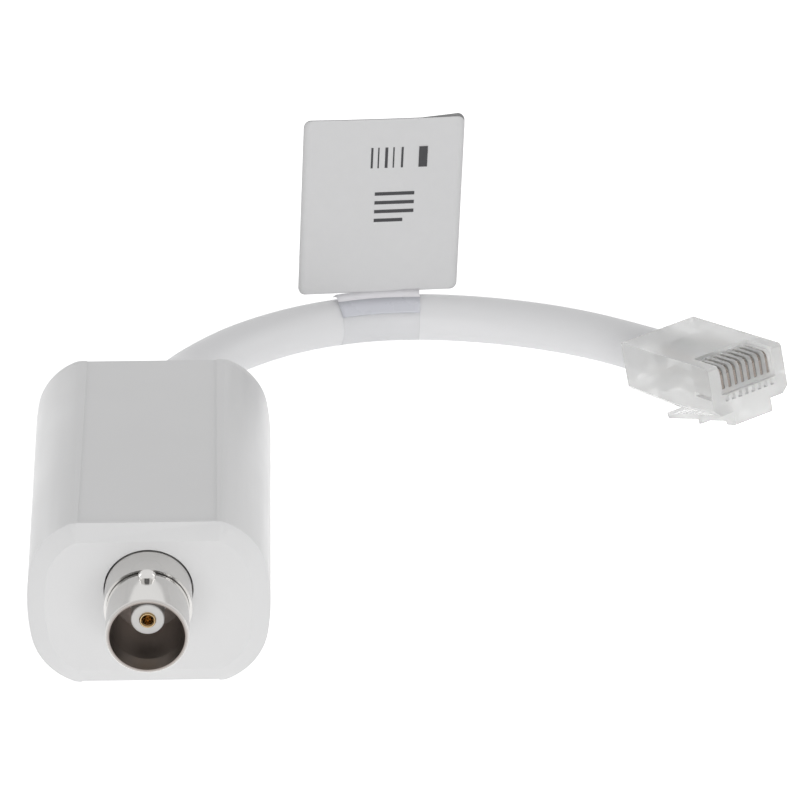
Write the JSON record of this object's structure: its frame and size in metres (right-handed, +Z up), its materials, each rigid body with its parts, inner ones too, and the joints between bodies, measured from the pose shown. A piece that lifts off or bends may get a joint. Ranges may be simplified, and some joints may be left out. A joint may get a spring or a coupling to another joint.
{
  "type": "ethernet over coax converter",
  "caption": "Small white bevelled housing with a bayonet coaxial jack in front and a short round network cable that ends in a clear modular plug, with a blank flag label on the cable.",
  "frame": {"origin": "on the surface that the housing stands on, under the middle of the housing with its jack", "axes": "+Z up, the coaxial jack faces -Y and the cable leaves the housing towards +Y, +X to the right seen from the jack's side"},
  "size_m": [0.0977, 0.108, 0.0351],
  "materials": {
    "housing_plastic": "fine matt moulded",
    "jack_metal": "nickel plated, satin",
    "contact_gold": "gold plated",
    "insulator_white": "smooth",
    "board_green": "solder mask",
    "component_black": "moulded epoxy",
    "can_metal": "drawn can",
    "cable_pvc": "smooth matt",
    "wire_blue": "smooth",
    "wire_orange": "smooth",
    "wire_green": "smooth",
    "wire_brown": "smooth",
    "wire_white": "smooth",
    "tie_nylon": "smooth",
    "plug_clear": "clear polycarbonate",
    "label_sheet": "laminated paper"
  },
  "bodies": {
    "root": {"housing_shell": "housing_plastic", "rear_cover": "housing_plastic", "bnc_shell": "jack_metal", "bnc_insulator": "insulator_white", "bnc_center_contact": "contact_gold", "circuit_board": "board_green", "line_transformer": "component_black", "surge_arrester": "component_black", "choke": "component_black", "modem_chip": "component_black", "power_chip": "component_black", "bridge_rectifier_1": "component_black", "bridge_rectifier_2": "component_black", "crystal": "can_metal", "electrolytic_capacitor_1": "can_metal", "electrolytic_capacitor_2": "can_metal", "inner_lead_1": "wire_white", "inner_lead_2": "wire_blue", "inner_lead_3": "wire_white", "inner_lead_4": "wire_orange", "inner_lead_5": "wire_white", "inner_lead_6": "wire_green", "inner_lead_7": "wire_white", "inner_lead_8": "wire_brown", "cable_tie": "tie_nylon", "plug_body": "plug_clear", "plug_contact_1": "contact_gold", "plug_contact_2": "contact_gold", "plug_contact_3": "contact_gold", "plug_contact_4": "contact_gold", "plug_contact_5": "contact_gold", "plug_contact_6": "contact_gold", "plug_contact_7": "contact_gold", "plug_contact_8": "contact_gold", "plug_wire_1": "wire_white", "plug_wire_2": "wire_orange", "plug_wire_3": "wire_white", "plug_wire_4": "wire_blue", "plug_wire_5": "wire_white", "plug_wire_6": "wire_green", "plug_wire_7": "wire_white", "plug_wire_8": "wire_brown", "cable_jacket": "cable_pvc", "flag_label": "label_sheet"}
  },
  "joints": []
}
